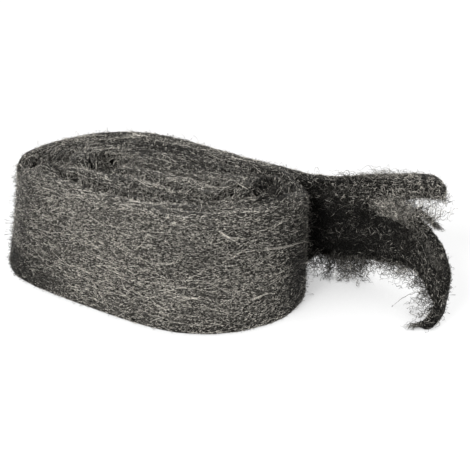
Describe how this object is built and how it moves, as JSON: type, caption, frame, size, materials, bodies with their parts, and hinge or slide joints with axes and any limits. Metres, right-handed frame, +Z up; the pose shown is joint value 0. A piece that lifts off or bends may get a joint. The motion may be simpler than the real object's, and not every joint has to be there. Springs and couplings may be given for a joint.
{
  "type": "steel wool bundle",
  "caption": "Flattened roll of felted steel wool strip standing on edge, its torn tail forking into a short upper lobe and a horn that sweeps down, for scouring and polishing.",
  "frame": {"origin": "middle of the bounding box's underside, on the surface that the bundle stands on", "axes": "+X along the roll's long axis towards the tail, +Y towards the side where the tail leaves the roll, +Z up across the strip's width"},
  "size_m": [0.3924, 0.1738, 0.1056],
  "materials": {
    "steel_wool": "fine bare steel fibres, matted, dark and slightly warm"
  },
  "bodies": {
    "root": {"steel_wool_strip": "steel_wool"}
  },
  "joints": []
}
